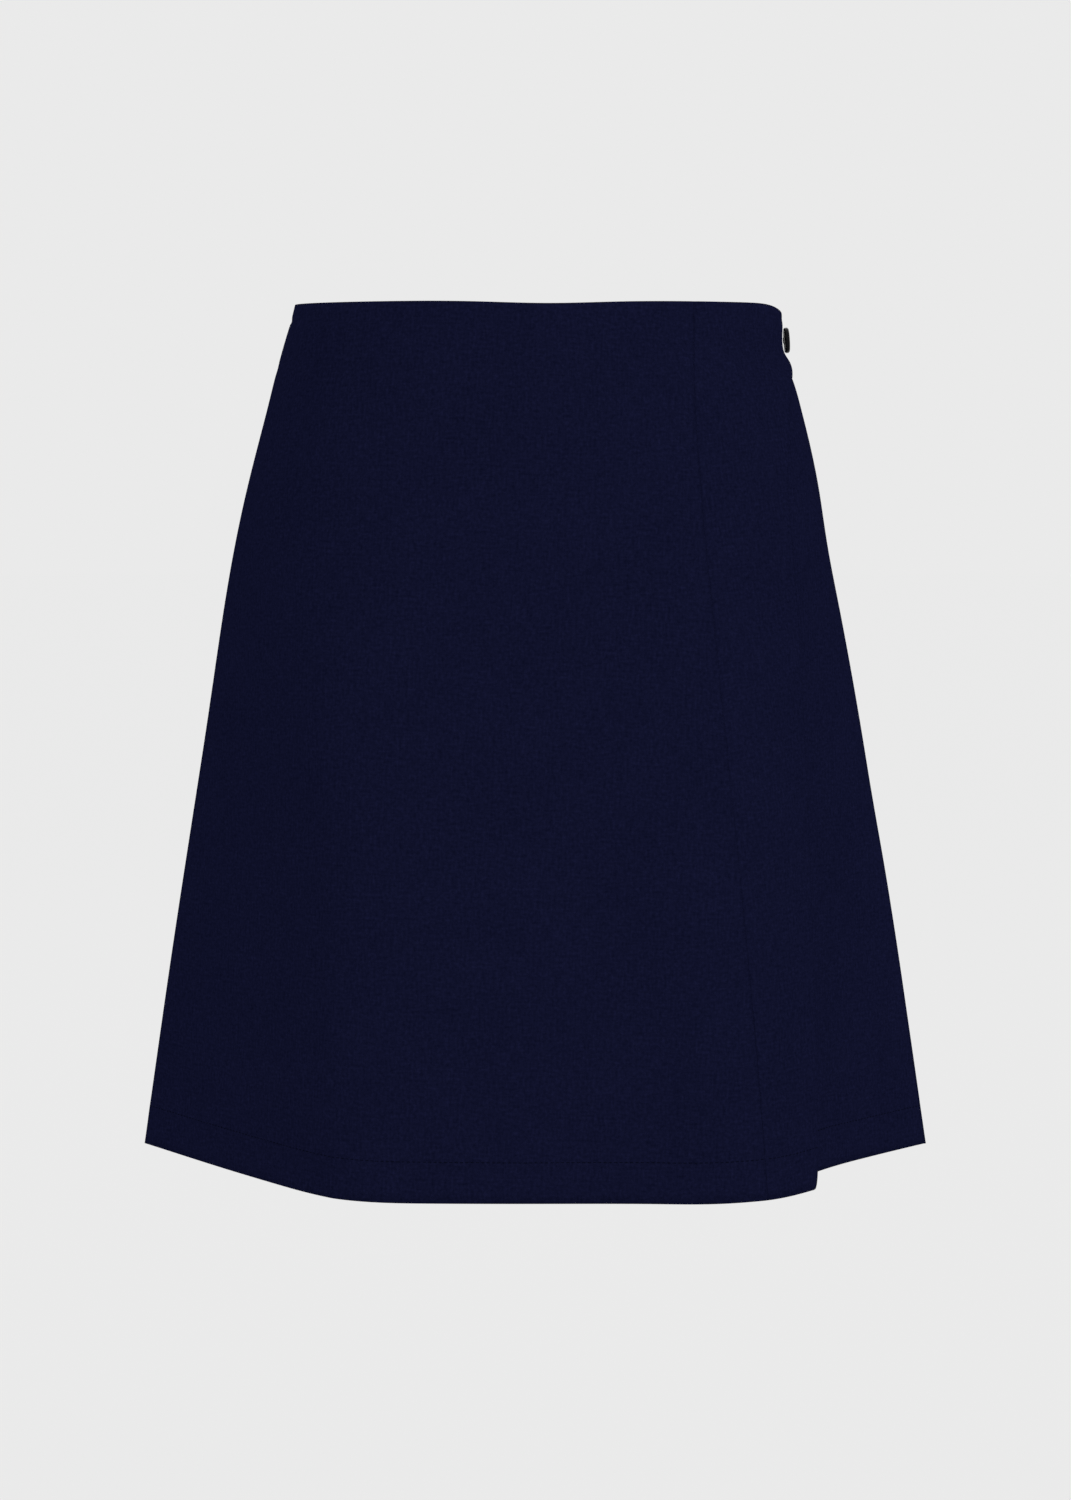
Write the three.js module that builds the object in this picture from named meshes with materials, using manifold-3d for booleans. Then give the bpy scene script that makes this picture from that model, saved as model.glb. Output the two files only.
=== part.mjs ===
// A wrap-front skort: A-line shorts with a flat front panel laid over them, sewn in at the waist
// and at the wearer's right side seam, and buttoned at the wearer's left side of the waist.
// Millimetres, +Z up. The origin is the middle of the waist opening. The front faces -Y, and the
// wearer's left is +X. A drop is a distance down from the waist edge.
import * as THREE from 'three'
import { mergeVertices } from 'three/addons/utils/BufferGeometryUtils.js'
import Module from 'manifold-3d'

const wasm = await Module()
wasm.setup()

// Driving dimensions
const LENGTH = 440                 // waist edge to hem, down the side seam
const CLOTH = 1.5                  // wall of every cloth piece
const SEAM_GAP = 0.3               // between the edges of two pieces sewn together
const LAYER = 2.9                  // from the outer face of the shorts to that of the wrap on them
const WAIST_FRONT_DIP = 1.1        // the waist edge sits lower in front than at the sides
const WAIST_SLACK = 1.4            // hangs a little lower still near its middle
const WAIST_SLACK_X = 6            // about this far to the wearer's left
const WAIST_SLACK_WIDTH = 34       // and over this width to each side
const WAIST_CORNER_DIP = 8.2       // and rounds down where the wrap is buttoned
const WAIST_CORNER_START = 112     // from this far to the wearer's left
const WAIST_CORNER_WIDTH = 16      // and over this width
const WAIST_DIP_DEPTH = 20         // all three dips fade out this far down the cloth
const SHORTS_LIFT = 3              // the shorts end this much above the wrap in front
const LIFT_START = 344             // from this drop down, and fully this far ahead of the seams
const LIFT_AHEAD = 60
const FLAP_STAND = 10.5             // how far the wrap's loose edge stands off the shorts at the hem
const FLAP_STAND_TOP = 130         // drop at which it starts to stand off
const FLAP_STAND_FROM = 50         // and how far to the wearer's left, up to just short of the edge
const FLAP_STAND_SHORT = 8
const TUCK_BEFORE = 30             // the shorts' step under the wrap starts this far before its seam
const TUCK_SHORT = 8               // and ends this far short of its edge
const TAB_REACH = 13               // the wrap's waist corner, past the left side seam
const TAB_DEPTH = 21               // how deep that corner is before its edge turns forward
const TAB_END = 40                 // and the drop where the edge meets the loose edge's own line

const CROTCH_DROP = 272            // where front and back rise seams meet
const CROTCH_Y = 8                 // and how far behind the side seams
const LEG_CORNER = 42              // rounding from a leg's front or back into its inner side
const LEG_SPREAD = 9               // half the space between the legs at the hem, outside
const INSEAM_SPREAD = 7            // and at the inseams

const BUTTON = { diameter: 13, thick: 2.4, rim: 1.6, dish: 0.6, hole: 1.7, holeSpacing: 3.4 }
const BUTTON_DROP = 17.3           // button centre below the waist edge, along the cloth
const BUTTON_TILT = 4 * Math.PI / 180 // it leans with the slope of the waist
const SHANK = { diameter: 3, length: 0.6 }
const SEAT = 0.35                  // shank to cloth at the middle, about 0.3 at the leaning edge

// The body in plan at each drop. right and left are the wearer's half widths, front and back are
// how far the cloth stands before and behind the side seams. fin goes from an oval, 0, to a flat
// face between two knuckles with straight sides that run out to a pointed side seam, 1.
const SECTIONS = [
  { drop: 0, right: 123.9, left: 123.9, front: 86, back: 83, frontFin: 0, backFin: 0 },
  { drop: 10, right: 126.4, left: 124.5, front: 88, back: 86, frontFin: 0, backFin: 0 },
  { drop: 18, right: 129.1, left: 124.4, front: 89, back: 89, frontFin: 0, backFin: 0 },
  { drop: 25, right: 131.1, left: 125.3, front: 90.4, back: 91.1, frontFin: 0, backFin: 0 },
  { drop: 28, right: 132.0, left: 126.8, front: 91, back: 92, frontFin: 0, backFin: 0 },
  { drop: 38, right: 134.8, left: 133.3, front: 92, back: 95, frontFin: 0.01, backFin: 0 },
  { drop: 52, right: 138.3, left: 137.0, front: 94, back: 99, frontFin: 0.03, backFin: 0 },
  { drop: 77, right: 145.2, left: 143.5, front: 96, back: 105, frontFin: 0.08, backFin: 0.02 },
  { drop: 108, right: 153.3, left: 149.5, front: 99, back: 111, frontFin: 0.22, backFin: 0.08 },
  { drop: 124, right: 156.6, left: 151.1, front: 100.5, back: 113, frontFin: 0.31, backFin: 0.12 },
  { drop: 149, right: 161.3, left: 156.5, front: 103, back: 116, frontFin: 0.45, backFin: 0.2 },
  { drop: 202, right: 169.5, left: 166.7, front: 107, back: 118.5, frontFin: 0.72, backFin: 0.45 },
  { drop: 265, right: 179.7, left: 177.9, front: 112, back: 119.5, frontFin: 0.92, backFin: 0.7 },
  { drop: 340, right: 191.8, left: 191.7, front: 118, back: 121, frontFin: 1, backFin: 0.85 },
  { drop: 440, right: 207.2, left: 207.1, front: 125.5, back: 124, frontFin: 1, backFin: 0.9 },
]
const KNUCKLE = { front: 98, back: 92 }      // half width of the flat face
const KNUCKLE_ROUND = { front: 34, back: 60 } // how far its rounding reaches along both faces

// Drops of the points down the cloth: close together where the legs' fork or the wrap's waist
// corner curves, and far apart where it hangs.
const LEG_ROWS = [0, 9, 18, 28, 38, 52, 72, 96, 124, 156, 190, 216, 236, 252, 263, 269, CROTCH_DROP,
  286, 312, 344, 392, LENGTH]
const WRAP_ROWS = [0, 9, 18, 24, 28, 32, 38, 52, 72, 96, 124, 156, 190, 238, 286, 344, 392, LENGTH]
const RISE_BEND = { front: 222, back: 216 }  // where each rise seam starts to curve under the body

// The long seam of the wrap and its loose edge, as distances to the wearer's left.
const WRAP_LINES = [
  { drop: 0, seam: 78, edge: 126 },
  { drop: 30, seam: 78, edge: 130.3 },
  { drop: 46, seam: 78, edge: 128.6 },
  { drop: 85, seam: 80.5, edge: 126.2 },
  { drop: 149, seam: 86.5, edge: 131 },
  { drop: 225, seam: 94.5, edge: 135.5 },
  { drop: 305, seam: 102.5, edge: 138.5 },
  { drop: 375, seam: 109, edge: 140.2 },
  { drop: 440, seam: 114, edge: 141.5 },
]

const DENSE = 72                   // fine steps along one quarter of the body, before resampling
const NAVY = 0x11132a
const RIGHT = -1
const LEFT = 1
const [ACROSS, AHEAD] = [0, 1]

const clamp01 = t => Math.min(Math.max(t, 0), 1)
const mix = (a, b, t) => a + (b - a) * t
const smooth = t => clamp01(t) ** 2 * (3 - 2 * clamp01(t))
const add = (p, q, k = 1) => [p[0] + q[0] * k, p[1] + q[1] * k]
const minus = (p, q) => [p[0] - q[0], p[1] - q[1]]
const unit = p => add([0, 0], p, 1 / (Math.hypot(p[0], p[1]) || 1))

// A column of a table at any drop, as a smooth curve through its rows.
function column(table, name, drop) {
  let i = 0
  while (i < table.length - 2 && drop > table[i + 1].drop) i++
  const row = k => table[Math.min(Math.max(k, 0), table.length - 1)]
  const slope = (a, b) => (b[name] - a[name]) / (b.drop - a.drop)
  const [a, b] = [row(i), row(i + 1)]
  const span = b.drop - a.drop
  const t = clamp01((drop - a.drop) / span)
  const startSlope = slope(row(i - 1), b) * span
  const endSlope = slope(a, row(i + 2)) * span
  return (2 * t ** 3 - 3 * t ** 2 + 1) * a[name] + (t ** 3 - 2 * t ** 2 + t) * startSlope +
    (3 * t ** 2 - 2 * t ** 3) * b[name] + (t ** 3 - t ** 2) * endSlope
}

// One quarter of the body in plan, from the side seam, f = 0, to the centre line, f = 1.
function quarterPoint(side, face, drop, f) {
  const half = column(SECTIONS, side === LEFT ? 'left' : 'right', drop)
  const depth = column(SECTIONS, face, drop)
  const fin = column(SECTIONS, face + 'Fin', drop)
  const knuckle = [KNUCKLE[face], depth]
  const toSide = unit(minus([half, 0], knuckle))
  const reach = Math.min(KNUCKLE_ROUND[face], 0.9 * knuckle[0])
  const sideRun = Math.hypot(half - knuckle[0], depth) - reach
  const total = sideRun + 2 * reach + knuckle[0] - reach
  const run = f * total
  let faceted
  if (run < sideRun) faceted = add([half, 0], toSide, -run)
  else if (run < sideRun + 2 * reach) {
    const t = (run - sideRun) / (2 * reach)
    const start = add(knuckle, toSide, reach)
    const end = add(knuckle, [-reach, 0])
    faceted = [0, 1].map(k => (1 - t) ** 2 * start[k] + 2 * t * (1 - t) * knuckle[k] + t ** 2 * end[k])
  } else faceted = [total - run, depth]
  const angle = f * Math.PI / 2
  const oval = [half * Math.cos(angle), depth * Math.sin(angle)]
  const sign = face === 'front' ? -1 : 1
  return [side * mix(oval[0], faceted[0], fin), sign * mix(oval[1], faceted[1], fin)]
}

function quarterPath(side, face, drop) {
  return Array.from({ length: DENSE + 1 }, (_, i) => quarterPoint(side, face, drop, i / DENSE))
}

// Plan normals of an open path, to the side that turn picks, mitred so that a wall keeps its
// thickness round a corner.
function normalsOf(path, turn) {
  return path.map((p, i) => {
    const before = unit(minus(p, path[Math.max(i - 1, 0)]))
    const after = unit(minus(path[Math.min(i + 1, path.length - 1)], p))
    const along = unit(add(before, after))
    const edge = i === 0 ? after : before
    const mitre = Math.max(Math.abs(edge[0] * along[0] + edge[1] * along[1]), 0.6)
    return [-along[1] * turn / mitre, along[0] * turn / mitre]
  })
}

// The path moved along its normals. An end with ACROSS or AHEAD keeps its x or its y, so that two
// pieces mitred on one seam plane never cross.
function moved(path, turn, distance, keep = []) {
  const normals = normalsOf(path, turn)
  const last = path.length - 1
  return path.map((p, i) => {
    const shift = add([0, 0], normals[i], typeof distance === 'number' ? distance : distance(p, i))
    const held = i === 0 ? keep[0] : i === last ? keep[1] : undefined
    if (held === undefined) return add(p, shift)
    const along = unit(minus(path[i === 0 ? 1 : last], path[i === 0 ? 0 : last - 1]))
    const axis = Math.abs(along[held]) > 0.4 ? held : 1 - held
    return add(add(p, shift), along, -shift[axis] / along[axis])
  })
}

// A path cut down to so many equal steps.
function resampled(path, steps) {
  const runs = [0]
  for (let i = 1; i < path.length; i++) {
    runs.push(runs[i - 1] + Math.hypot(...minus(path[i], path[i - 1])))
  }
  let k = 1
  return Array.from({ length: steps + 1 }, (_, i) => {
    const run = runs.at(-1) * i / steps
    while (k < path.length - 1 && runs[k] < run) k++
    return add(path[k - 1], minus(path[k], path[k - 1]), (run - runs[k - 1]) / (runs[k] - runs[k - 1]))
  })
}

// The part of a path from where it first passes one x to where it first passes another.
function between(path, fromX, toX) {
  const crossing = x => {
    const i = path.findIndex((p, k) => k > 0 && p[0] >= x)
    const k = i < 0 ? path.length - 1 : i
    const t = clamp01((x - path[k - 1][0]) / (path[k][0] - path[k - 1][0]))
    return { next: k, point: add(path[k - 1], minus(path[k], path[k - 1]), t) }
  }
  const start = fromX === undefined ? { next: 1, point: path[0] } : crossing(fromX)
  const end = toX === undefined ? { next: path.length - 1, point: path.at(-1) } : crossing(toX)
  return [start.point, ...path.slice(start.next, end.next), end.point]
}

// Height of a point of the cloth: the waist edge dips in front and at the buttoned corner, and the
// hem of the shorts is lifted in front.
function heightAt(x, y, drop, lift) {
  const nearWaist = clamp01(1 - drop / WAIST_DIP_DEPTH)
  const nearHem = clamp01((drop - LIFT_START) / (LENGTH - LIFT_START))
  const ahead = clamp01(-y / SECTIONS[0].front)
  const corner = 1 - Math.sqrt(1 - clamp01((x - WAIST_CORNER_START) / WAIST_CORNER_WIDTH) ** 2)
  const slack = WAIST_SLACK * Math.exp(-(((x - WAIST_SLACK_X) / WAIST_SLACK_WIDTH) ** 2))
  const dip = (WAIST_FRONT_DIP + slack) * ahead * (1 - corner) + WAIST_CORNER_DIP * corner
  return -drop - dip * nearWaist + lift * clamp01(-y / LIFT_AHEAD) * nearHem
}

// A cloth wall from two paths for each row: its outer face and its inner face.
function cloth(name, rows, lift = 0) {
  const across = rows[0].outer.length
  const down = rows.length
  const positions = []
  for (const face of ['outer', 'inner']) {
    for (const row of rows) {
      row[face].forEach(([x, y], i) => {
        const [edgeX, edgeY] = row.outer[i]
        positions.push(x, y, heightAt(edgeX, edgeY, row.drop, lift))
      })
    }
  }
  const at = (layer, r, c) => layer * down * across + r * across + c
  const index = []
  const quad = (a, b, c, d) => index.push(a, b, c, a, c, d)
  for (let r = 0; r < down - 1; r++) {
    for (let c = 0; c < across - 1; c++) {
      quad(at(0, r, c), at(0, r + 1, c), at(0, r + 1, c + 1), at(0, r, c + 1))
      quad(at(1, r, c), at(1, r, c + 1), at(1, r + 1, c + 1), at(1, r + 1, c))
    }
    quad(at(0, r, 0), at(1, r, 0), at(1, r + 1, 0), at(0, r + 1, 0))
    quad(at(0, r, across - 1), at(0, r + 1, across - 1), at(1, r + 1, across - 1), at(1, r, across - 1))
  }
  for (let c = 0; c < across - 1; c++) {
    quad(at(0, 0, c), at(0, 0, c + 1), at(1, 0, c + 1), at(1, 0, c))
    quad(at(0, down - 1, c), at(1, down - 1, c), at(1, down - 1, c + 1), at(0, down - 1, c + 1))
  }
  const geometry = new THREE.BufferGeometry()
  geometry.setAttribute('position', new THREE.Float32BufferAttribute(positions, 3))
  geometry.setIndex(index)
  if (volumeOf(geometry) < 0) geometry.setIndex(index.reverse())
  return named(name, geometry, NAVY, 0.9)
}

function volumeOf(geometry) {
  const corner = new THREE.Vector3()
  const points = Array.from(geometry.index.array, i => corner.fromBufferAttribute(
    geometry.attributes.position, i).clone())
  let volume = 0
  for (let i = 0; i < points.length; i += 3) {
    volume += points[i].dot(points[i + 1].clone().cross(points[i + 2])) / 6
  }
  return volume
}

function named(name, geometry, color, roughness) {
  geometry.computeVertexNormals()
  const mesh = new THREE.Mesh(geometry,
    new THREE.MeshStandardMaterial({ color, roughness, metalness: 0 }))
  mesh.name = name
  return mesh
}

// How much of the layer step the shorts take: all of it under the wrap's flat front, none where
// the wrap's loose edge crosses them.
function tucked(x, drop) {
  const seam = column(WRAP_LINES, 'seam', drop)
  const edge = column(WRAP_LINES, 'edge', drop)
  return 1 - smooth((x - seam + TUCK_BEFORE) / (edge - TUCK_SHORT - seam + TUCK_BEFORE))
}

// Shorts: one front and one back piece for each leg. A row runs from the side seam to the rise
// seam, and below the fork it turns the corner of the leg and runs along its inner side.
const LEG_STEPS = { outside: 11, inside: 8 }
function legPath(side, face, drop) {
  const sign = face === 'front' ? -1 : 1
  const path = quarterPath(side, face, drop)
  const outward = side * sign
  const shifted = face === 'back' ? path
    : moved(path, outward, ([x]) => LAYER * tucked(x, drop), [AHEAD])
  const depth = Math.abs(shifted.at(-1)[1])
  const fork = clamp01((drop - RISE_BEND[face]) / (CROTCH_DROP - RISE_BEND[face]))
  const crotch = sign * CROTCH_Y
  const rise = crotch + (depth - crotch) * Math.sqrt(1 - fork ** 2)
  const reach = Math.min(LEG_CORNER, 0.8 * (depth - rise))
  const below = clamp01((drop - CROTCH_DROP) / (LENGTH - CROTCH_DROP))
  const wall = SEAM_GAP / 2 + LEG_SPREAD * clamp01((drop - RISE_BEND[face]) / (LENGTH - RISE_BEND[face]))
  const inseam = SEAM_GAP / 2 + INSEAM_SPREAD * below
  const split = wall + LEG_CORNER + 2
  const outside = shifted.filter(p => Math.abs(p[0]) > split)
  outside[0] = [outside[0][0], sign * SEAM_GAP / 2]
  const inside = shifted.filter(p => Math.abs(p[0]) <= split && Math.abs(p[0]) > wall + reach + 1)
  for (let i = 0; i <= 8 && reach > 0; i++) {
    const t = i / 8
    inside.push([side * (wall + reach * (1 - t) ** 2), sign * (depth - reach * t ** 2)])
  }
  inside.push([side * inseam, sign * (rise + (fork === 1 ? SEAM_GAP / 2 : 0))])
  outside.push(inside[0])
  return [...resampled(outside, LEG_STEPS.outside), ...resampled(inside, LEG_STEPS.inside).slice(1)]
}

function legPiece(name, side, face) {
  const sign = face === 'front' ? -1 : 1
  const rows = LEG_ROWS.map(drop => {
    const outer = legPath(side, face, drop)
    const inner = moved(outer, side * sign, CLOTH, [AHEAD, drop > RISE_BEND[face] ? AHEAD : ACROSS])
    return { drop, outer, inner }
  })
  return cloth(name, rows, face === 'front' ? SHORTS_LIFT : 0)
}

// Wrap: its path across the front, from the right side seam, past the left one into the tab.
function wrapPath(drop) {
  const rightFront = quarterPath(RIGHT, 'front', drop)
  const leftFront = quarterPath(LEFT, 'front', drop).reverse()
  const leftBack = quarterPath(LEFT, 'back', drop).slice(1, DENSE / 4)
  const body = [...rightFront, ...leftFront.slice(1), ...leftBack]
  const fall = clamp01((drop - FLAP_STAND_TOP) / (LENGTH - FLAP_STAND_TOP))
  const standing = mix(fall, smooth(fall), 0.6)
  const edge = column(WRAP_LINES, 'edge', drop)
  const standWidth = edge - FLAP_STAND_FROM - FLAP_STAND_SHORT
  const path = moved(body, -1, ([x]) => LAYER * (1 - tucked(x, drop)) +
    FLAP_STAND * standing * smooth((x - FLAP_STAND_FROM) / standWidth), [AHEAD])
  path[0] = [path[0][0], -SEAM_GAP / 2]
  return path
}

const wrapFront = cloth('wrap_front', WRAP_ROWS.map(drop => {
  const seam = column(WRAP_LINES, 'seam', drop) - SEAM_GAP / 2
  const outer = resampled(between(wrapPath(drop), undefined, seam), 20)
  return { drop, outer, inner: moved(outer, 1, CLOTH, [AHEAD, ACROSS]) }
}))

function wrapSideOuter(drop) {
  const seam = column(WRAP_LINES, 'seam', drop) + SEAM_GAP / 2
  const path = wrapPath(drop)
  const edgeY = between(path, seam, column(WRAP_LINES, 'edge', Math.max(drop, TAB_END))).at(-1)[1]
  const reach = mix(TAB_REACH, edgeY, smooth((drop - TAB_DEPTH) / (TAB_END - TAB_DEPTH)))
  const end = path.findIndex((p, i) => i > DENSE && p[0] > 0 && p[1] >= reach)
  const [before, after] = [path[end - 1], path[end]]
  const corner = add(before, minus(after, before), (reach - before[1]) / (after[1] - before[1]))
  return resampled(between([...path.slice(0, end), corner], seam), 8)
}

const wrapSide = cloth('wrap_side', WRAP_ROWS.map(drop => {
  const outer = wrapSideOuter(drop)
  return { drop, outer, inner: moved(outer, 1, CLOTH, [ACROSS]) }
}))

// Button: a dished disc with four holes, on a wound thread shank, facing the wearer's left.
function solidOf(geometry) {
  const bare = geometry.clone()
  for (const attribute of ['normal', 'uv']) bare.deleteAttribute(attribute)
  const merged = mergeVertices(bare, 1e-4)
  return new wasm.Manifold(new wasm.Mesh({
    numProp: 3,
    vertProperties: new Float32Array(merged.attributes.position.array),
    triVerts: new Uint32Array(merged.index.array),
  }))
}

function geometryOf(solid) {
  const mesh = solid.getMesh()
  const geometry = new THREE.BufferGeometry()
  geometry.setAttribute('position', new THREE.Float32BufferAttribute(mesh.vertProperties, 3))
  geometry.setIndex(Array.from(mesh.triVerts))
  return geometry
}

function buttonPieces() {
  const radius = BUTTON.diameter / 2
  const profile = [[0, 0], [radius - 0.5, 0], [radius, 0.5], [radius, BUTTON.thick - 0.6],
    [radius - 0.6, BUTTON.thick], [radius - BUTTON.rim, BUTTON.thick],
    [radius - BUTTON.rim - 0.6, BUTTON.thick - BUTTON.dish], [0, BUTTON.thick - BUTTON.dish]]
  let disc = solidOf(new THREE.LatheGeometry(profile.map(([r, h]) => new THREE.Vector2(r, h)), 28))
  const hole = new THREE.CylinderGeometry(BUTTON.hole / 2, BUTTON.hole / 2, 3 * BUTTON.thick, 8)
  for (const [across, along] of [[-1, -1], [-1, 1], [1, -1], [1, 1]]) {
    const placed = hole.clone().translate(across * BUTTON.holeSpacing / 2, 0, along * BUTTON.holeSpacing / 2)
    disc = disc.subtract(solidOf(placed))
  }
  const tab = wrapSideOuter(BUTTON_DROP)
  const next = tab.findIndex(p => p[1] > 0)
  const [front, back] = [tab[next - 1], tab[next]]
  const tabFace = mix(front[0], back[0], front[1] / (front[1] - back[1]))
  const height = heightAt(tabFace, 0, BUTTON_DROP, 0)
  const button = named('button', geometryOf(disc), 0x0a0a10, 0.35)
  button.rotation.set(0, -BUTTON_TILT, -Math.PI / 2)
  button.position.set(tabFace + SEAT + SHANK.length, 0, height)
  const shank = named('button_shank', new THREE.CylinderGeometry(
    SHANK.diameter / 2, SHANK.diameter / 2, SHANK.length - SEAM_GAP, 12), NAVY, 0.9)
  shank.rotation.set(0, -BUTTON_TILT, -Math.PI / 2)
  shank.position.set(tabFace + SEAT + (SHANK.length - SEAM_GAP) / 2, 0, height)
  return [button, shank]
}

const group = new THREE.Group()
group.add(wrapFront, wrapSide)
for (const [word, side] of [['right', RIGHT], ['left', LEFT]]) {
  group.add(legPiece(`front_leg_${word}`, side, 'front'))
  group.add(legPiece(`back_leg_${word}`, side, 'back'))
}
group.add(...buttonPieces())
export default group
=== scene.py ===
# A wrap-front skort in dark navy suiting, filled out as it is worn. The solids give every panel's
# form; the cloth with its seams and folds, the finishes and the sewing are modelled on it here.
import math

import bmesh
import bpy
import numpy as np
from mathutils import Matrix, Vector


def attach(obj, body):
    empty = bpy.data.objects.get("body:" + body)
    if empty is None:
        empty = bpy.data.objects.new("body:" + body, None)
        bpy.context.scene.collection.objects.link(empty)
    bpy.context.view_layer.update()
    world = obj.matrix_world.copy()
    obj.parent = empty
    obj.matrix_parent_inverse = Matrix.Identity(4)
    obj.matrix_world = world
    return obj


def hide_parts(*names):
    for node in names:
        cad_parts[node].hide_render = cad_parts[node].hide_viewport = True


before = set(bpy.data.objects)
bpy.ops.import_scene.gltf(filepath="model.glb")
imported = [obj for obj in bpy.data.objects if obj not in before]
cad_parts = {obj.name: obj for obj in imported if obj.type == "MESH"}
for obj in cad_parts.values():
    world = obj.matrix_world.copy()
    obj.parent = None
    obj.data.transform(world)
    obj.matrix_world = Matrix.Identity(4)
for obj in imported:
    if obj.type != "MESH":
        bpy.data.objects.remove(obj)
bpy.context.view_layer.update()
bpy.ops.object.select_all(action="DESELECT")
MM = 0.001


# Camera: at the garment's own height, a little above the middle and looking slightly down, far
# enough back that the front and the side seams keep their true proportions.
CAMERA_DISTANCE = 1.56
CAMERA_HEIGHT = -0.0639
CAMERA_TILT = math.radians(6.09)
CAMERA_LENS = 72
SENSOR_HEIGHT = 36
bpy.ops.object.camera_add(location=(0, -CAMERA_DISTANCE, CAMERA_HEIGHT),
                          rotation=(math.radians(90) - CAMERA_TILT, 0, 0))
camera = bpy.context.object
camera.data.sensor_fit = "VERTICAL"
camera.data.sensor_height = SENSOR_HEIGHT
camera.data.lens = CAMERA_LENS
bpy.context.scene.camera = camera
bpy.context.scene.view_settings.view_transform = "Standard"


# Colour and nodes: hex values are sRGB, and one function turns them linear. One function adds a
# node with its settings and links.
def colour(hex_value, alpha=1.0):
    parts = [int(hex_value[i:i + 2], 16) / 255 for i in (1, 3, 5)]
    return (*[c / 12.92 if c <= 0.04045 else ((c + 0.055) / 1.055) ** 2.4 for c in parts], alpha)


def add_node(material, kind, settings=None, **sockets):
    """A node of that kind. Settings are its properties, and sockets are values or output links."""
    tree = material.node_tree
    node = tree.nodes.new(kind)
    for name, value in (settings or {}).items():
        setattr(node, name, value)
    for name, value in sockets.items():
        key = int(name[1:]) if name[0] == "_" and name[1:].isdigit() else name.replace("_", " ")
        socket = node.inputs[key]
        if isinstance(value, bpy.types.NodeSocket):
            tree.links.new(value, socket)
        else:
            socket.default_value = value
    return node


def new_material(name):
    material = bpy.data.materials.new(name)
    material.use_nodes = True
    material.node_tree.nodes.clear()
    return material


# Studio: a plain pale floor well below the hem, a pale world, and three soft lamps. The floor
# shows the same pale grey as the world and still takes the garment's shadow.
PALE = "#EAEAEA"
WORLD_STRENGTH = 0.88
FLOOR_DROP = 0.80
FLOOR_RADIUS = 14
FLOOR_OWN_GREY = 0.97  # how much of the floor is its plain grey to the camera; the rest takes light
LAMP_TARGET = Vector((0, 0, -0.22))

world = bpy.data.worlds.new("studio")
bpy.context.scene.world = world
world.use_nodes = True
world.node_tree.nodes.clear()
path = add_node(world, "ShaderNodeLightPath")
seen = add_node(world, "ShaderNodeMath", {"operation": "MAXIMUM"},
                _0=path.outputs["Is Camera Ray"], _1=path.outputs["Is Glossy Ray"])
lighting = add_node(world, "ShaderNodeBackground", Color=colour("#FFFFFF"),
                    Strength=WORLD_STRENGTH)
shown = add_node(world, "ShaderNodeBackground", Color=colour(PALE), Strength=1.0)
blend = add_node(world, "ShaderNodeMixShader", _0=seen.outputs[0], _1=lighting.outputs[0],
                 _2=shown.outputs[0])
add_node(world, "ShaderNodeOutputWorld", Surface=blend.outputs[0])

bpy.ops.mesh.primitive_circle_add(vertices=96, radius=FLOOR_RADIUS, fill_type="NGON",
                                  location=(0, 0, -FLOOR_DROP))
floor = bpy.context.object
floor.name = "floor"
bpy.ops.object.transform_apply(location=True)
paper = new_material("seamless_paper")
path = add_node(paper, "ShaderNodeLightPath")
matte = add_node(paper, "ShaderNodeBsdfDiffuse", Color=colour(PALE))
flat = add_node(paper, "ShaderNodeEmission", Color=colour(PALE), Strength=1.0)
share = add_node(paper, "ShaderNodeMath", {"operation": "MULTIPLY"},
                 _0=path.outputs["Is Camera Ray"], _1=FLOOR_OWN_GREY)
blend = add_node(paper, "ShaderNodeMixShader", _0=share.outputs[0], _1=matte.outputs[0],
                 _2=flat.outputs[0])
add_node(paper, "ShaderNodeOutputMaterial", Surface=blend.outputs[0])
floor.data.materials.append(paper)

LAMPS = [
    {"name": "key", "at": (2.2, -2.0, 1.2), "size": 1.6, "watts": 29},
    {"name": "fill", "at": (-1.7, -2.2, 0.3), "size": 2.0, "watts": 8},
    {"name": "back", "at": (-0.6, 2.4, 1.5), "size": 1.8, "watts": 15},
]
for lamp in LAMPS:
    bpy.ops.object.light_add(type="AREA", location=lamp["at"])
    item = bpy.context.object
    item.name = lamp["name"] + "_lamp"
    item.data.size = lamp["size"]
    item.data.energy = lamp["watts"]
    aim = LAMP_TARGET - Vector(lamp["at"])
    item.rotation_euler = aim.to_track_quat("-Z", "Y").to_euler()


# Suiting: a matte plain-weave crepe of polyester and viscose, piece-dyed dark navy. Uneven yarns
# give it a faint mottle along warp and weft, and its crepe twist gives a fine pebbled grain. The
# colour also follows the pebbles, darker in their hollows and paler on their tops: that part of the
# mottle is painted shade and painted light, and the rest is the cloth's own tone. The threads shade
# each other at flat angles, so it has no gloss. They are 0.45 mm apart, and are drawn at 0.9 mm so
# that they show.
# The ramp's dark end is partly painted shade in the pebbles' hollows, and its pale end partly
# painted light on their tops.
NAVY = "#101229"
NAVY_DEEP = "#0B0D21"
NAVY_PALE_AND_LIT = "#151732"
THREAD_PITCH = 0.9 * MM
PEBBLES_PER_METRE = 620
CLOUDS_PER_METRE = 28.0
YARN_STRETCHES = (("warp", (900, 130, 1)), ("weft", (150, 800, 1)))


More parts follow.
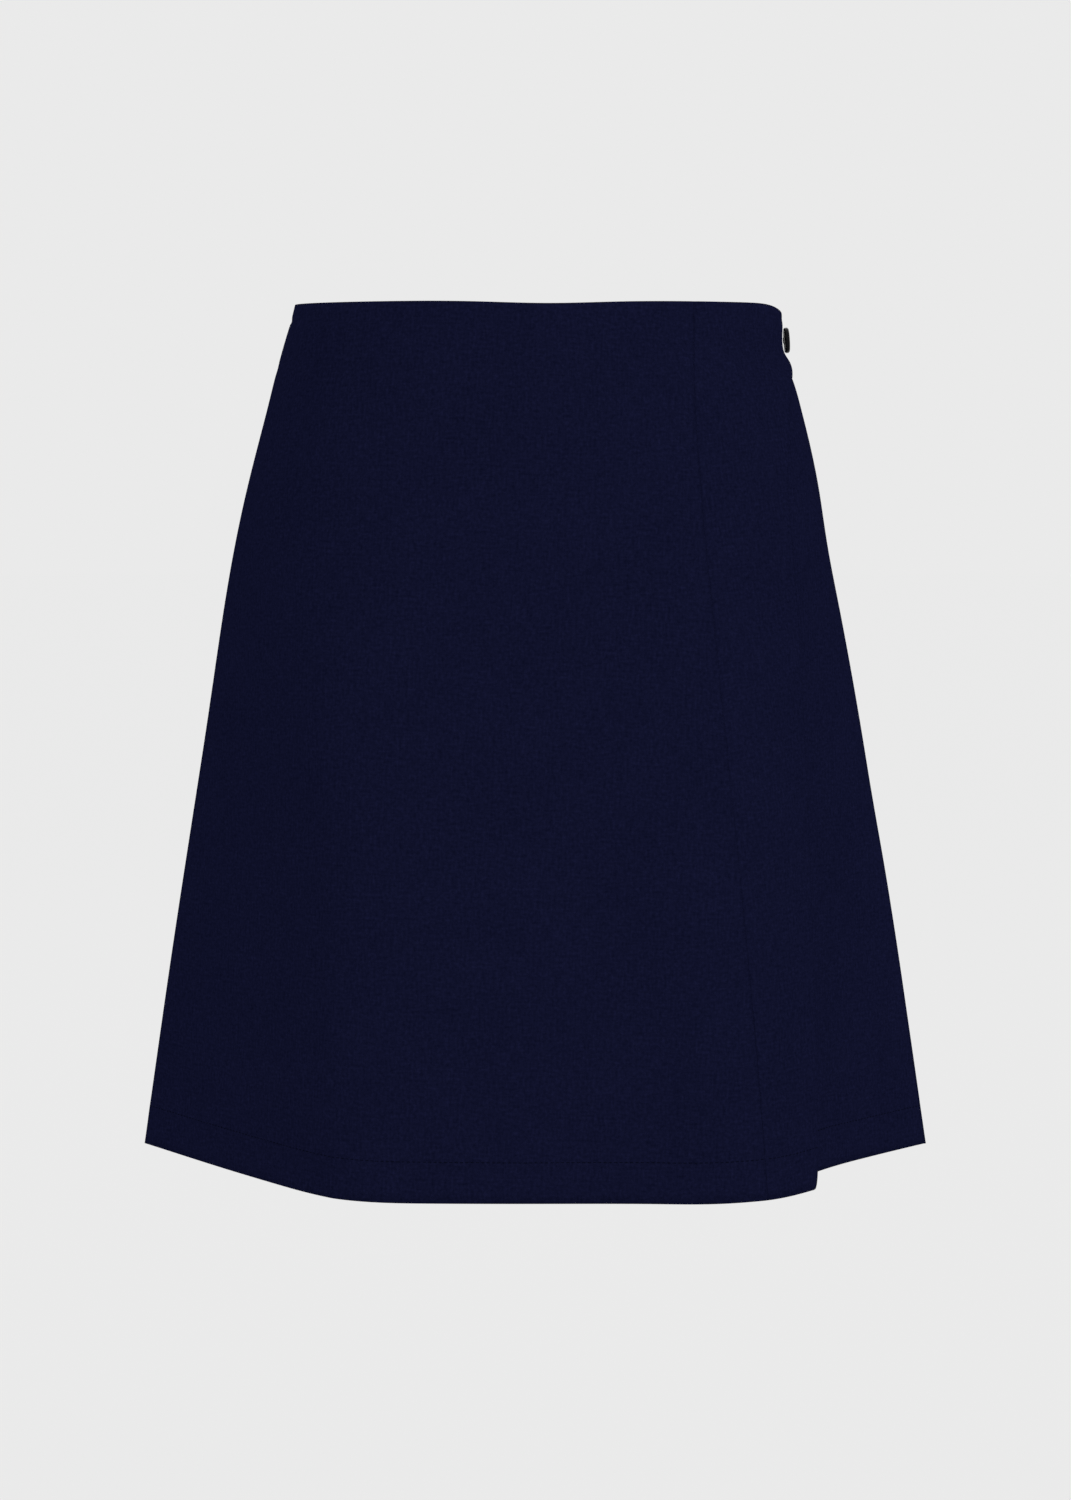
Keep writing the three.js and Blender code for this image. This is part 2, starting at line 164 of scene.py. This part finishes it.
def woven_suiting():
    material = new_material("woven_suiting_navy")
    uv = add_node(material, "ShaderNodeUVMap", {"uv_map": "cut"})
    yarns = []
    for name, stretch in YARN_STRETCHES:
        mapped = add_node(material, "ShaderNodeMapping", {"name": name},
                          Vector=uv.outputs["UV"], Scale=stretch)
        yarns.append(add_node(material, "ShaderNodeTexNoise", {"noise_dimensions": "2D"},
                              Vector=mapped.outputs[0], Scale=1.0, Detail=2.0).outputs[0])
    slub = add_node(material, "ShaderNodeMath", {"operation": "ADD"}, _0=yarns[0], _1=yarns[1])
    cloud = add_node(material, "ShaderNodeTexNoise", {"noise_dimensions": "2D"},
                     Vector=uv.outputs["UV"], Scale=CLOUDS_PER_METRE, Detail=3.0, Roughness=0.55)
    pebble = add_node(material, "ShaderNodeTexNoise", {"noise_dimensions": "2D"},
                      Vector=uv.outputs["UV"], Scale=PEBBLES_PER_METRE, Detail=2.0, Roughness=0.6)
    # The pebble term darkens the colour in the pebbles' hollows and lightens it on their tops:
    # painted shade and painted light.
    tone = add_node(material, "ShaderNodeMath", {"operation": "MULTIPLY_ADD"},
                    _0=cloud.outputs[0], _1=0.18, _2=add_node(
                        material, "ShaderNodeMath", {"operation": "MULTIPLY_ADD"},
                        _0=slub.outputs[0], _1=0.5, _2=pebble.outputs[0]).outputs[0])
    ramp = add_node(material, "ShaderNodeValToRGB", Fac=add_node(
        material, "ShaderNodeMapRange", Value=tone.outputs[0], From_Min=0.7,
        From_Max=1.6).outputs[0])
    ramp.color_ramp.elements[0].color = colour(NAVY_DEEP)
    ramp.color_ramp.elements[1].color = colour(NAVY_PALE_AND_LIT)
    ramp.color_ramp.elements.new(0.5).color = colour(NAVY)
    turns = 2 * math.pi / THREAD_PITCH
    split = add_node(material, "ShaderNodeSeparateXYZ", Vector=uv.outputs["UV"])
    waves = []
    for axis in ("X", "Y"):
        angle = add_node(material, "ShaderNodeMath", {"operation": "MULTIPLY"},
                         _0=split.outputs[axis], _1=turns)
        waves.append(add_node(material, "ShaderNodeMath", {"operation": "SINE"},
                              _0=angle.outputs[0]).outputs[0])
    crossing = add_node(material, "ShaderNodeMath", {"operation": "MULTIPLY"},
                        _0=waves[0], _1=waves[1])
    height = add_node(material, "ShaderNodeMath", {"operation": "MULTIPLY_ADD"},
                      _0=pebble.outputs[0], _1=2.2, _2=crossing.outputs[0])
    bump = add_node(material, "ShaderNodeBump", Height=height.outputs[0], Strength=0.35,
                    Distance=0.12 * MM)
    rough = add_node(material, "ShaderNodeMapRange", Value=slub.outputs[0], From_Min=0.6,
                     From_Max=1.4, To_Min=0.94, To_Max=0.8)
    shader = add_node(material, "ShaderNodeBsdfPrincipled", Base_Color=ramp.outputs[0],
                      Roughness=rough.outputs[0], Normal=bump.outputs[0],
                      Specular_IOR_Level=0.0)
    add_node(material, "ShaderNodeOutputMaterial", Surface=shader.outputs[0])
    return material


suiting = woven_suiting()


# Panels: each cut piece is a thin shell on the outer face of its solid, opened out flat to find
# its cut, then smoothed, creased, turned in at its edges and given the cloth's thickness.
CLOTH_THICK = 0.9 * MM
RIM_WIDTH = 2.7 * MM
WELD = 1e-5
SMOOTHING = 3


def outer_face(name, centre_x):
    """The outer side of a node's wall as an open surface, turned into quads."""
    bm = bmesh.new()
    bm.from_mesh(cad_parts[name].data)
    bmesh.ops.remove_doubles(bm, verts=bm.verts, dist=WELD)
    dropped = []
    for face in bm.faces:
        middle = face.calc_center_median()
        outward = Vector((middle.x - centre_x, middle.y, 0))
        rim = min(edge.calc_length() for edge in face.edges) < RIM_WIDTH
        if rim or face.normal.dot(outward) <= 0:
            dropped.append(face)
    bmesh.ops.delete(bm, geom=dropped, context="FACES")
    bmesh.ops.join_triangles(bm, faces=bm.faces, cmp_seam=False, cmp_sharp=False, cmp_uvs=False,
                             angle_face_threshold=math.pi, angle_shape_threshold=math.pi)
    mesh = bpy.data.meshes.new(name + "_cloth")
    bm.to_mesh(mesh)
    bm.free()
    piece = bpy.data.objects.new(name + "_cloth", mesh)
    bpy.context.scene.collection.objects.link(piece)
    return piece


def select_only(piece):
    bpy.ops.object.select_all(action="DESELECT")
    piece.select_set(True)
    bpy.context.view_layer.objects.active = piece


def open_flat(piece):
    """Unwraps the panel, scales the map to metres and turns its grain upright. Returns its size
    and area."""
    select_only(piece)
    piece.data.uv_layers.new(name="cut")
    bpy.ops.object.mode_set(mode="EDIT")
    bpy.ops.mesh.select_all(action="SELECT")
    bpy.ops.uv.unwrap(method="ANGLE_BASED", margin=0)
    bpy.ops.object.mode_set(mode="OBJECT")
    mesh = piece.data
    layer = mesh.uv_layers["cut"].data
    flat = np.array([tuple(item.uv) for item in layer])
    points = np.array([tuple(mesh.vertices[loop.vertex_index].co) for loop in mesh.loops])
    flat_area = solid_area = 0.0
    for polygon in mesh.polygons:
        ring = flat[list(polygon.loop_indices)]
        following = np.roll(ring, -1, axis=0)
        flat_area += abs(np.sum(ring[:, 0] * following[:, 1] - following[:, 0] * ring[:, 1])) / 2
        solid_area += polygon.area
    flat *= math.sqrt(solid_area / flat_area)
    table = np.c_[flat, np.ones(len(flat))]
    up = np.linalg.lstsq(table, points[:, 2], rcond=None)[0][:2]
    up /= np.hypot(*up)
    across = np.array([up[1], -up[0]])
    turned = np.c_[flat @ across, flat @ up]
    turned -= turned.min(axis=0)
    for item, place in zip(layer, turned):
        item.uv = tuple(place)
    return turned.max(axis=0), solid_area


def trough(points, start, end, width, depth, fade=0.35):
    """Depth of one soft trough, in millimetres, at points (x, z). A negative depth is a ridge."""
    a, b = np.array(start, float), np.array(end, float)
    along = b - a
    length = np.hypot(*along)
    along /= length
    offset = points - a
    run = offset @ along
    aside = offset @ np.array([-along[1], along[0]])
    inside = np.clip(np.minimum(run, length - run) / (fade * length), -4, 1)
    taper = np.where(inside > 0, np.sin(inside * math.pi / 2) ** 2, 0)
    return depth * taper * np.exp(-(aside / width) ** 2)


def line_trough(values, at, width, depth):
    return depth * np.exp(-((values - at) / width) ** 2)


def all_folds(x, z, folds):
    """Depth of all the folds of a list, in millimetres."""
    points = np.c_[x, z]
    return sum(trough(points, **fold) for fold in folds)


SEAM_REACH = 0.149 * MM
CORNER_CANCEL = 0.5  # pushes that nearly cancel each other move nothing
LAST_WAIST_ROW = -12 * MM
FIRST_HEM_ROW = -430 * MM


def reach_seams(mesh):
    """Moves a panel's sewn edges out along the cloth until they meet. Waist and hem stay."""
    bm = bmesh.new()
    bm.from_mesh(mesh)
    push = {}
    for edge in bm.edges:
        if edge.is_boundary:
            face = edge.link_faces[0]
            start, end = edge.verts
            out = (end.co - start.co).cross(face.normal).normalized()
            if out.dot(start.co - face.calc_center_median()) < 0:
                out.negate()
            for vert in (start, end):
                push[vert] = push.get(vert, Vector()) + out
    for vert, out in push.items():
        if not FIRST_HEM_ROW < vert.co.z < LAST_WAIST_ROW:
            out.z = 0
        if out.length > CORNER_CANCEL:
            vert.co += out.normalized() * SEAM_REACH
    bm.to_mesh(mesh)
    bm.free()


def line_above_hem(mesh, lift):
    """Points and outward normals along the cloth, HEM_DEPTH above its hem, from end to end."""
    bm = bmesh.new()
    bm.from_mesh(mesh)
    for vert in bm.verts:
        vert.co.z -= lift(vert.co.y / MM) * MM
    level = (HEM_Z + HEM_DEPTH) * MM
    cut = bmesh.ops.bisect_plane(bm, geom=bm.verts[:] + bm.edges[:] + bm.faces[:],
                                 plane_co=(0, 0, level), plane_no=(0, 0, 1))["geom_cut"]
    bm.normal_update()
    beside = {}
    for item in cut:
        if isinstance(item, bmesh.types.BMEdge):
            for here, there in (item.verts, reversed(item.verts)):
                beside.setdefault(here, []).append(there)
    step = next(vert for vert, near in beside.items() if len(near) == 1)
    chain = [step]
    while step:
        step = next((vert for vert in beside[step] if vert not in chain[-2:]), None)
        if step:
            chain.append(step)
    points = np.array([tuple(vert.co) for vert in chain]) / MM
    points[:, 2] += lift(points[:, 1])
    normals = np.array([tuple(vert.normal) for vert in chain])
    bm.free()
    return points, normals


hem_lines = []


def level_hem(y):
    """A hem at one height."""
    return 0 * y


def finish_panel(piece, relief, lift=level_hem):
    """Smooths the panel, moves it in by relief(x, y, z, normal) and thickens it. lift(y) is how
    much higher than HEM_Z its hem is."""
    select_only(piece)
    smooth = piece.modifiers.new("smooth", "SUBSURF")
    smooth.levels = smooth.render_levels = SMOOTHING
    smooth.boundary_smooth = "PRESERVE_CORNERS"
    bpy.ops.object.modifier_apply(modifier=smooth.name)
    mesh = piece.data
    reach_seams(mesh)
    count = len(mesh.vertices)
    place = np.empty(count * 3)
    mesh.vertices.foreach_get("co", place)
    place = place.reshape(-1, 3)
    normal = np.empty(count * 3)
    mesh.vertices.foreach_get("normal", normal)
    normal = normal.reshape(-1, 3)
    depth = relief(*(place / MM).T, normal.T)
    place -= normal * (depth * MM)[:, None]
    mesh.vertices.foreach_set("co", place.ravel())
    mesh.update()
    hem_lines.append(line_above_hem(mesh, lift))
    thick = piece.modifiers.new("thickness", "SOLIDIFY")
    thick.thickness = CLOTH_THICK
    thick.offset = -1
    thick.use_even_offset = True
    bpy.ops.object.modifier_apply(modifier=thick.name)
    bpy.ops.object.shade_smooth()
    piece.data.materials.append(suiting)


HEM_Z = -440
HEM_DEPTH = 20.3
WAIST_ROLL = 8
ROLL_WIDTH = 1.5
FACING_DEPTH = 33
FACING_WIDTH = 3.2
STITCHED_WIDTH = 0.8
STITCHED_DEPTH = 0.3
PUCKER_REACH = 5
SEAM_WIDTH = 1.3
SEAM_DEPTH = 0.24


def waist_and_hem(x, y, z, hem_z):
    """The rolled waist edge, the print of the facing's lower edge, and the sewn hem."""
    wander = 0.8 * np.sin(x / 23) + 0.5 * np.sin(x / 9 + 1) + 0.6 * np.sin(y / 17)
    roll = line_trough(z, -WAIST_ROLL - wander, ROLL_WIDTH, 0.42 + 0.2 * np.sin(x / 31 + 0.6))
    facing = line_trough(z, -FACING_DEPTH + 1.5 * np.sin(x / 40), FACING_WIDTH,
                         0.3 + 0.15 * np.sin(x / 19))
    stitched = line_trough(z, hem_z + HEM_DEPTH, STITCHED_WIDTH, STITCHED_DEPTH)
    pucker = line_trough(z, hem_z + HEM_DEPTH, PUCKER_REACH, 0.10 * np.sin(x / 2.3 + y / 2.9))
    return roll + facing + stitched + pucker


def slow_waves(x, y, z):
    """The faint unevenness of hanging cloth, less at the waist than below the hips."""
    hang = np.clip(-z / 300, 0.15, 1.2)
    return hang * (0.45 * np.sin(x / 37 + z / 160) + 0.35 * np.sin(x / 21 - z / 95 + 1.3)
                   + 0.25 * np.sin(y / 26 + z / 120))


# The wrap's main panel: one piece across the front, sewn in at the right side seam, with a waist
# dart of 75 mm over the right hip and a plain sewn hem.
DART_TOP = (-106, 2)
DART_TIP = (-115.5, -78)
DART_WIDTH = 1.3
DART_DEPTH = 0.8
FRONT_FOLDS = [
    {"start": (-112, -92), "end": (-139, -200), "width": 13, "depth": -1.1},
    {"start": (-142, -225), "end": (-146, -430), "width": 16, "depth": 0.5},
    {"start": (-95, -52), "end": (-20, -58), "width": 15, "depth": 0.55},
    {"start": (-30, -64), "end": (64, -50), "width": 17, "depth": 0.7},
    {"start": (-48, -120), "end": (-58, -330), "width": 26, "depth": 0.8},
    {"start": (30, -190), "end": (22, -430), "width": 30, "depth": 0.9},
    {"start": (74, -250), "end": (84, -440), "width": 18, "depth": -0.7},
    {"start": (-10, -360), "end": (-6, -445), "width": 22, "depth": -0.6},
]


def seam_x(z):
    """The long seam's distance to the wearer's left, in millimetres, straight but for one bend."""
    return np.interp(-z, [0, 46, 85, 149, 225, 305, 375, 440],
                     [78, 78, 80.5, 86.5, 94.5, 102.5, 109, 114])


def pressed_crease(x, z):
    """The crease down the right of the panel: the cloth turns back sharply beyond its line."""
    line = np.interp(-z, [190, 300, 440], [-107, -104, -100])
    beyond = np.maximum(line - x, 0)
    fade = np.clip((-z - 188) / 50, 0, 1)
    return 2.7 * fade * (1 - np.exp(-beyond / 12)) * np.exp(-(beyond / 46) ** 2)


def wrap_front_relief(x, y, z, _normal):
    depth = waist_and_hem(x, y, z, HEM_Z) + slow_waves(x, y, z) + pressed_crease(x, z)
    depth += all_folds(x, z, FRONT_FOLDS)
    depth += trough(np.c_[x, z], DART_TOP, DART_TIP, DART_WIDTH, DART_DEPTH, fade=0.5) * (z < 0)
    return depth + line_trough(x, seam_x(z), SEAM_WIDTH, SEAM_DEPTH)


wrap_front = outer_face("wrap_front", 0)
wrap_front_flat, wrap_front_area = open_flat(wrap_front)
finish_panel(wrap_front, wrap_front_relief)
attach(wrap_front, "root")
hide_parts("wrap_front")


# The wrap's side panel: a narrow piece from the long seam to the loose edge, which hangs clear of
# the shorts and is buttoned at its waist corner, where the cloth is drawn in under the button.
SIDE_FOLDS = [
    {"start": (118, -18), "end": (100, -44), "width": 3.5, "depth": 0.5},
    {"start": (121, -24), "end": (112, -70), "width": 4.0, "depth": 0.55},
    {"start": (112, -28), "end": (131, -32), "width": 1.6, "depth": 0.6},
    {"start": (126, -78), "end": (118, -118), "width": 7.0, "depth": 0.7},
    {"start": (112, -150), "end": (122, -400), "width": 9.0, "depth": -0.6},
]


def eased_side(x, z):
    """The cloth at the left side reaches out a little, above the button and again below it."""
    above = 0.35 * np.exp(-((z + 9) / 7) ** 2)
    below = 0.8 * np.exp(-((z + 31) / 6) ** 2)
    return (above + below) * np.clip((x - 112) / 12, 0, 1)


def wrap_side_relief(x, y, z, _normal):
    depth = waist_and_hem(x, y, z, HEM_Z) + slow_waves(x, y, z) + all_folds(x, z, SIDE_FOLDS)
    depth += line_trough(x, seam_x(z), SEAM_WIDTH, SEAM_DEPTH)
    return depth - eased_side(x, z)


wrap_side = outer_face("wrap_side", 0)
wrap_side_flat, wrap_side_area = open_flat(wrap_side)
finish_panel(wrap_side, wrap_side_relief)
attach(wrap_side, "root")
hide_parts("wrap_side")


# Shorts: four pieces of the same cloth, joined at the side seams, the rise seams and the inseams.
# The front shows only beside the wrap's loose edge; the back has a waist dart on each side.
LEG_FOLDS = {
    "front_leg_left": [
        {"start": (139, -190), "end": (152, -452), "width": 7, "depth": 1.6},
        {"start": (143, -262), "end": (180, -352), "width": 7, "depth": 1.5},
        {"start": (172, -240), "end": (186, -445), "width": 9, "depth": -0.9},
        {"start": (140, -82), "end": (138, -104), "width": 6, "depth": 0.9},
    ],
    "front_leg_right": [
        {"start": (-90, -260), "end": (-98, -440), "width": 16, "depth": 0.8},
    ],
    "back_leg_left": [
        {"start": (62, 4), "end": (66, -108), "width": 1.5, "depth": 0.9},
        {"start": (120, -150), "end": (108, -452), "width": 12, "depth": -1.2},
        {"start": (148, -170), "end": (156, -430), "width": 15, "depth": 1.1},
        {"start": (72, -230), "end": (84, -445), "width": 20, "depth": 1.2},
        {"start": (24, -205), "end": (70, -262), "width": 8, "depth": 0.9},
        {"start": (44, -300), "end": (46, -445), "width": 16, "depth": -0.9},
    ],
    "back_leg_right": [
        {"start": (-62, 4), "end": (-66, -108), "width": 1.5, "depth": 0.9},
        {"start": (-122, -140), "end": (-104, -452), "width": 12, "depth": -1.3},
        {"start": (-150, -190), "end": (-150, -430), "width": 17, "depth": 1.0},
        {"start": (-66, -240), "end": (-80, -445), "width": 22, "depth": 1.1},
        {"start": (-20, -212), "end": (-64, -258), "width": 9, "depth": 0.9},
        {"start": (-38, -320), "end": (-50, -445), "width": 15, "depth": -0.8},
    ],
}
LEG_CENTRE = 0.10
RISE_END = -215
HIDDEN_SHARE = 0.25    # how much relief is left where the wrap covers the shorts
SHOWN_FROM = 60        # the relief grows to its full depth from here, over as many millimetres
INSEAM_TURN = 0.35     # cloth whose normal turns further to the side than this has no folds


def raised_hem(y):
    """The shorts' hem is up to 3 mm higher in front than at the side seams."""
    return 3 * np.clip(-y / 60, 0, 1)


for name, folds in LEG_FOLDS.items():
    is_front = name.startswith("front")

    def leg_relief(x, y, z, normal, folds=folds, is_front=is_front):
        facing = np.abs(normal[1]) > INSEAM_TURN
        hem = HEM_Z + (raised_hem(y) if is_front else 0)
        depth = waist_and_hem(x, y, z, hem) + slow_waves(x, y, z)
        depth += facing * all_folds(x, z, folds) - eased_side(x, z)
        if is_front:
            return depth * np.clip((x - SHOWN_FROM) / SHOWN_FROM, HIDDEN_SHARE, 1)
        return depth + line_trough(x, 0, SEAM_WIDTH, SEAM_DEPTH) * (z > RISE_END)

    piece = outer_face(name, LEG_CENTRE if name.endswith("left") else -LEG_CENTRE)
    flat_size, flat_area = open_flat(piece)
    finish_panel(piece, leg_relief, raised_hem if is_front else level_hem)
    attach(piece, "root")
    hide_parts(name)
    tuple(flat_size)

tuple(wrap_front_flat)
tuple(wrap_side_flat)


# Button: a near-black moulded polyester resin disc with a dished middle and four holes, satin
# polished. Its solid has the right shape, so it stays and takes this finish.
def button_resin():
    material = new_material("moulded_polyester_resin_black")
    place = add_node(material, "ShaderNodeTexCoord")
    grain = add_node(material, "ShaderNodeTexNoise", Vector=place.outputs["Object"], Scale=900.0,
                     Detail=4.0, Roughness=0.6)
    ramp = add_node(material, "ShaderNodeValToRGB", Fac=grain.outputs[0])
    ramp.color_ramp.elements[0].color = colour("#040407")
    ramp.color_ramp.elements[1].color = colour("#0D0D13")
    rough = add_node(material, "ShaderNodeMapRange", Value=grain.outputs[0], To_Min=0.22,
                     To_Max=0.42)
    bump = add_node(material, "ShaderNodeBump", Height=grain.outputs[0], Strength=0.08,
                    Distance=0.05 * MM)
    shader = add_node(material, "ShaderNodeBsdfPrincipled", Base_Color=ramp.outputs[0],
                      Roughness=rough.outputs[0], Normal=bump.outputs[0], IOR=1.54,
                      Specular_IOR_Level=0.08)
    add_node(material, "ShaderNodeOutputMaterial", Surface=shader.outputs[0])
    return material


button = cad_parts["button"]
button.data.materials.clear()
button.data.materials.append(button_resin())


# Thread: spun polyester sewing thread, dyed a shade darker than the cloth, with the ply twist
# drawn as bands 0.5 mm apart, raised in relief and darker in the grooves between the plies, which
# is painted shade. It winds the button's shank and sews the hems.
def sewing_thread():
    material = new_material("spun_polyester_thread_navy")
    place = add_node(material, "ShaderNodeTexCoord")
    twist = add_node(material, "ShaderNodeTexWave", {"bands_direction": "DIAGONAL"},
                     Vector=place.outputs["Object"], Scale=640.0, Distortion=1.0)
    # The ramp's darker end is painted shade in the grooves between the plies.
    ramp = add_node(material, "ShaderNodeValToRGB", Fac=twist.outputs[0])
    ramp.color_ramp.elements[0].color = colour("#05060E")
    ramp.color_ramp.elements[1].color = colour("#0B0D1D")
    bump = add_node(material, "ShaderNodeBump", Height=twist.outputs[0], Strength=0.4,
                    Distance=0.08 * MM)
    shader = add_node(material, "ShaderNodeBsdfPrincipled", Base_Color=ramp.outputs[0],
                      Roughness=0.8, Normal=bump.outputs[0], Specular_IOR_Level=0.0)
    add_node(material, "ShaderNodeOutputMaterial", Surface=shader.outputs[0])
    return material


thread = sewing_thread()
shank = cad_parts["button_shank"]
shank.data.materials.clear()
shank.data.materials.append(thread)


def add_tube(bm, middles, radii, outs, acrosses, sides=6):
    """A closed tube through rings given in millimetres. Each ring lies in its out and across."""
    rings = []
    for middle, radius, out, across in zip(middles, radii, outs, acrosses):
        turns = [2 * math.pi * side / sides for side in range(sides)]
        rings.append([bm.verts.new((middle + radius * (
            math.cos(turn) * across + math.sin(turn) * out)) * MM) for turn in turns])
    for near, far in zip(rings, rings[1:]):
        for side in range(sides):
            after = (side + 1) % sides
            bm.faces.new((near[side], far[side], far[after], near[after]))
    bm.faces.new(rings[0])
    bm.faces.new(rings[-1][::-1])


def finish_thread(bm, name):
    """Turns the sewn tubes into one piece with the thread's material."""
    bmesh.ops.recalc_face_normals(bm, faces=bm.faces)
    mesh = bpy.data.meshes.new(name)
    bm.to_mesh(mesh)
    bm.free()
    piece = bpy.data.objects.new(name, mesh)
    bpy.context.scene.collection.objects.link(piece)
    mesh.materials.append(thread)
    mesh.shade_smooth()
    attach(piece, "root")


# Button thread: two bars of three strands each, sewn upright through the button's four holes and
# lying over its dished middle.
HOLE_SPACING = 3.4
STRAND_RADIUS = 0.19
STRAND_PITCH = 0.36
STRAND_ROWS = [  # place between the two holes and height over the dished face, in millimetres
    {"along": -1.7, "height": -0.9},
    {"along": -1.62, "height": -0.15},
    {"along": -1.25, "height": 0.2},
    {"along": -0.5, "height": 0.34},
    {"along": 0.5, "height": 0.34},
    {"along": 1.25, "height": 0.2},
    {"along": 1.62, "height": -0.15},
    {"along": 1.7, "height": -0.9},
]
DISH_BELOW_RIM = 0.6
button_points = np.array([tuple(button.matrix_world @ vert.co) for vert in button.data.vertices])
button_points /= MM
disc_middle = (button_points.min(axis=0) + button_points.max(axis=0)) / 2
disc_axis = Vector(np.linalg.svd(button_points - disc_middle)[2][2])
if disc_axis.x < 0:
    disc_axis.negate()
disc_across = Vector((0, 1, 0))
disc_up = disc_across.cross(disc_axis).normalized()
if disc_up.z < 0:
    disc_up.negate()
rim_height = ((button_points - disc_middle) @ np.array(disc_axis)).max()
face_middle = Vector(disc_middle) + disc_axis * (rim_height - DISH_BELOW_RIM)
bm = bmesh.new()
for bar in (-1, 1):
    for strand in (-1, 0, 1):
        aside = bar * HOLE_SPACING / 2 + strand * STRAND_PITCH
        middles = [face_middle + disc_across * aside + disc_up * row["along"]
                   + disc_axis * row["height"] for row in STRAND_ROWS]
        aheads = [(after - before).normalized() for before, after in zip(
            [middles[0]] + middles[:-1], middles[1:] + [middles[-1]])]
        add_tube(bm, middles, [STRAND_RADIUS] * len(middles),
                 [disc_across.cross(ahead) for ahead in aheads], [disc_across] * len(middles))
finish_thread(bm, "button_thread")

# Hem stitches: one row of lockstitch round each hem, 2.6 mm long, in the same thread. Each stitch
# rises from its hole and dips into the next, and all of them are one piece.
STITCH_LENGTH = 2.6
STITCH_SHARE = 0.84
STITCH_RINGS = [  # place along the stitch, radius and height over the cloth, in millimetres
    {"along": 0.0, "radius": 0.06, "height": -0.16},
    {"along": 0.25, "radius": 0.17, "height": 0.03},
    {"along": 0.75, "radius": 0.17, "height": 0.03},
    {"along": 1.0, "radius": 0.06, "height": -0.16},
]


def stitch_run(bm, points, normals):
    """One row of stitches along points of the cloth, with its outward normals."""
    run = np.r_[0, np.cumsum(np.linalg.norm(np.diff(points, axis=0), axis=1))]

    def on_cloth(table, at):
        return Vector([np.interp(at, run, table[:, axis]) for axis in range(3)])

    for number in range(int(run[-1] / STITCH_LENGTH)):
        middles, outs, acrosses = [], [], []
        for ring in STITCH_RINGS:
            at = (number + 0.5 + STITCH_SHARE * (ring["along"] - 0.5)) * STITCH_LENGTH
            out = on_cloth(normals, at).normalized()
            ahead = (on_cloth(points, at + 0.1) - on_cloth(points, at - 0.1)).normalized()
            middles.append(on_cloth(points, at) + out * ring["height"])
            outs.append(out)
            acrosses.append(out.cross(ahead))
        add_tube(bm, middles, [ring["radius"] for ring in STITCH_RINGS], outs, acrosses)


bm = bmesh.new()
for points, normals in hem_lines:
    stitch_run(bm, points, normals)
finish_thread(bm, "hem_stitches")
